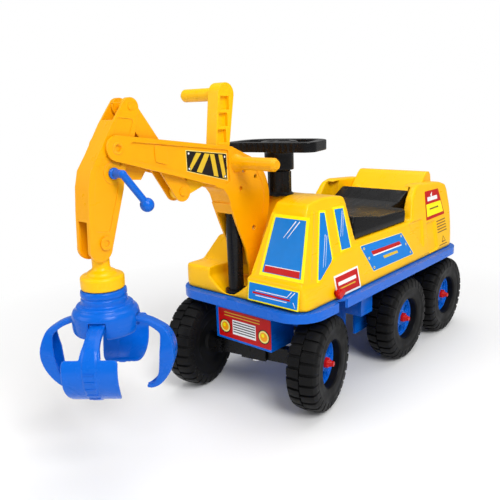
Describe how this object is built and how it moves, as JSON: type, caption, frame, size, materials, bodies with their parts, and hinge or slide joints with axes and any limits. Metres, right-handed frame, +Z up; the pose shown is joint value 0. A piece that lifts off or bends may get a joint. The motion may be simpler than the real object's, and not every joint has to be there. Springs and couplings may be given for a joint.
{
  "type": "ride-on toy excavator",
  "caption": "Ride-on toy grabber truck with steered front axle, lift-up seat and a slewing crane whose lever moves the stick and whose crank opens the claw.",
  "frame": {"origin": "ground level, in the middle of the toy's length and width", "axes": "+X to the rider's left, -Y forwards, +Z up"},
  "size_m": [0.2798, 0.8518, 0.49],
  "materials": {
    "body_yellow": "glossy moulded polypropylene",
    "arm_yellow": "glossy moulded polypropylene, slightly deeper yellow",
    "blue_plastic": "glossy moulded polypropylene",
    "black_plastic": "satin black moulded plastic",
    "tyre": "matt black blow-moulded tyre",
    "red_plastic": "glossy red moulded plastic",
    "steel": "zinc-plated steel",
    "cord_white": "braided nylon cord"
  },
  "bodies": {
    "chassis": {"chassis_tray": "blue_plastic", "body_shell": "body_yellow", "backrest": "body_yellow", "seat_hinge_pin": "steel", "column_housing": "black_plastic", "kingpin": "steel", "mid_axle_rod": "steel", "rear_axle_rod": "steel", "slew_post": "black_plastic"},
    "steering": {"steering_wheel": "black_plastic", "horn_cap": "black_plastic", "steering_shaft": "steel"},
    "drag_link": {"drag_link": "black_plastic"},
    "front_axle": {"front_axle_beam": "black_plastic", "front_axle_rod": "steel"},
    "wheel_front_left": {"tyre_front_left": "tyre", "hub_front_left": "blue_plastic", "cap_front_left": "red_plastic"},
    "wheel_front_right": {"tyre_front_right": "tyre", "hub_front_right": "blue_plastic", "cap_front_right": "red_plastic"},
    "wheel_mid_left": {"tyre_mid_left": "tyre", "hub_mid_left": "blue_plastic", "cap_mid_left": "red_plastic"},
    "wheel_mid_right": {"tyre_mid_right": "tyre", "hub_mid_right": "blue_plastic", "cap_mid_right": "red_plastic"},
    "wheel_rear_left": {"tyre_rear_left": "tyre", "hub_rear_left": "blue_plastic", "cap_rear_left": "red_plastic"},
    "wheel_rear_right": {"tyre_rear_right": "tyre", "hub_rear_right": "blue_plastic", "cap_rear_right": "red_plastic"},
    "seat": {"seat_lid": "black_plastic"},
    "knob_left": {"lock_knob_left": "red_plastic"},
    "knob_right": {"lock_knob_right": "red_plastic"},
    "arm": {"arm_left_shell": "arm_yellow", "arm_right_shell": "arm_yellow", "arm_screws": "steel", "stick_pivot_pin": "arm_yellow", "lever_pin": "steel"},
    "lever": {"control_lever": "body_yellow"},
    "push_link": {"push_link": "arm_yellow", "link_lower_pin": "arm_yellow"},
    "stick": {"stick_left_half": "arm_yellow", "stick_right_half": "arm_yellow", "link_upper_pin": "arm_yellow", "hanger_pin": "arm_yellow", "cord_upper": "cord_white"},
    "crank": {"claw_crank": "blue_plastic", "cord_drum": "blue_plastic"},
    "hanger": {"claw_hanger": "body_yellow", "cord_lower": "cord_white"},
    "claw": {"claw_head": "blue_plastic", "finger_pins": "steel"},
    "plunger": {"claw_plunger": "blue_plastic"},
    "finger_front": {"claw_finger_front": "blue_plastic"},
    "finger_left": {"claw_finger_left": "blue_plastic"},
    "finger_back": {"claw_finger_back": "blue_plastic"},
    "finger_right": {"claw_finger_right": "blue_plastic"}
  },
  "joints": [
    {"name": "steer", "type": "hinge", "parent": "chassis", "child": "steering", "pos_m": [0, -0.01109, 0.35], "axis": [0, 0, 1], "range_deg": [-42, 18]},
    {"name": "axle_swivel", "type": "hinge", "parent": "chassis", "child": "front_axle", "pos_m": [0, -0.07909, 0.1], "axis": [0, 0, 1], "range_deg": [-42, 18]},
    {"name": "drag_link_pivot", "type": "hinge", "parent": "steering", "child": "drag_link", "pos_m": [-0.02934, -0.01733, 0.0915], "axis": [0, 0, 1], "range_deg": [-18, 42]},
    {"name": "wheel_front_left_spin", "type": "hinge", "parent": "front_axle", "child": "wheel_front_left", "pos_m": [0.10515, -0.05674, 0.075], "axis": [0.9781, 0.2079, 0], "continuous": true},
    {"name": "wheel_front_right_spin", "type": "hinge", "parent": "front_axle", "child": "wheel_front_right", "pos_m": [-0.10515, -0.10144, 0.075], "axis": [0.9781, 0.2079, 0], "continuous": true},
    {"name": "wheel_mid_left_spin", "type": "hinge", "parent": "chassis", "child": "wheel_mid_left", "pos_m": [0.1075, 0.18591, 0.075], "axis": [1, 0, 0], "continuous": true},
    {"name": "wheel_mid_right_spin", "type": "hinge", "parent": "chassis", "child": "wheel_mid_right", "pos_m": [-0.1075, 0.18591, 0.075], "axis": [1, 0, 0], "continuous": true},
    {"name": "wheel_rear_left_spin", "type": "hinge", "parent": "chassis", "child": "wheel_rear_left", "pos_m": [0.1075, 0.35091, 0.075], "axis": [1, 0, 0], "continuous": true},
    {"name": "wheel_rear_right_spin", "type": "hinge", "parent": "chassis", "child": "wheel_rear_right", "pos_m": [-0.1075, 0.35091, 0.075], "axis": [1, 0, 0], "continuous": true},
    {"name": "seat_hinge", "type": "hinge", "parent": "chassis", "child": "seat", "pos_m": [0, 0.28691, 0.279], "axis": [-1, 0, 0], "range_deg": [0, 75]},
    {"name": "knob_left_turn", "type": "hinge", "parent": "chassis", "child": "knob_left", "pos_m": [0.118, -0.03409, 0.181], "axis": [1, 0, 0], "range_deg": [0, 90]},
    {"name": "knob_right_turn", "type": "hinge", "parent": "chassis", "child": "knob_right", "pos_m": [-0.118, -0.03409, 0.181], "axis": [-1, 0, 0], "range_deg": [0, 90]},
    {"name": "arm_slew", "type": "hinge", "parent": "chassis", "child": "arm", "pos_m": [-0.022, -0.09809, 0.32], "axis": [0, 0, 1], "range_deg": [-30, 30]},
    {"name": "stick_swing", "type": "hinge", "parent": "arm", "child": "stick", "pos_m": [-0.022, -0.31209, 0.413], "axis": [1, 0, 0], "range_deg": [-10, 12]},
    {"name": "lever_swing", "type": "hinge", "parent": "arm", "child": "lever", "pos_m": [-0.022, -0.12909, 0.371], "axis": [1, 0, 0], "range_deg": [-14, 8]},
    {"name": "link_swing", "type": "hinge", "parent": "stick", "child": "push_link", "pos_m": [-0.022, -0.28509, 0.461], "axis": [1, 0, 0], "range_deg": [-15, 8]},
    {"name": "crank_turn", "type": "hinge", "parent": "stick", "child": "crank", "pos_m": [0.005, -0.31909, 0.384], "axis": [1, 0, 0], "range_deg": [-20, 70]},
    {"name": "claw_sway", "type": "hinge", "parent": "stick", "child": "hanger", "pos_m": [-0.022, -0.33909, 0.302], "axis": [1, 0, 0], "range_deg": [-20, 12]},
    {"name": "claw_spin", "type": "hinge", "parent": "hanger", "child": "claw", "pos_m": [-0.022, -0.33909, 0.24], "axis": [0, 0, 1], "continuous": true},
    {"name": "plunger_slide", "type": "slide", "parent": "claw", "child": "plunger", "axis": [0, 0, 1], "range_m": [-0.0035, 0.0015]},
    {"name": "finger_front_swing", "type": "hinge", "parent": "claw", "child": "finger_front", "pos_m": [-0.0006, -0.36551, 0.206], "axis": [-0.7771, -0.6293, 0], "range_deg": [-4, 18]},
    {"name": "finger_left_swing", "type": "hinge", "parent": "claw", "child": "finger_left", "pos_m": [0.00442, -0.31769, 0.206], "axis": [0.6293, -0.7771, 0], "range_deg": [-4, 18]},
    {"name": "finger_back_swing", "type": "hinge", "parent": "claw", "child": "finger_back", "pos_m": [-0.0434, -0.31267, 0.206], "axis": [0.7771, 0.6293, 0], "range_deg": [-4, 18]},
    {"name": "finger_right_swing", "type": "hinge", "parent": "claw", "child": "finger_right", "pos_m": [-0.04842, -0.36048, 0.206], "axis": [-0.6293, 0.7771, 0], "range_deg": [-4, 18]}
  ],
  "couplings": [
    {"joint": "axle_swivel", "follows": "steer", "ratio": 1},
    {"joint": "drag_link_pivot", "follows": "steer", "ratio": -1},
    {"joint": "lever_swing", "follows": "stick_swing", "ratio": -0.618},
    {"joint": "link_swing", "follows": "stick_swing", "ratio": -0.672},
    {"joint": "plunger_slide", "follows": "crank_turn", "m_per_rad": -0.0024},
    {"joint": "finger_front_swing", "follows": "crank_turn", "ratio": 0.2},
    {"joint": "finger_left_swing", "follows": "crank_turn", "ratio": 0.2},
    {"joint": "finger_back_swing", "follows": "crank_turn", "ratio": 0.2},
    {"joint": "finger_right_swing", "follows": "crank_turn", "ratio": 0.2}
  ]
}
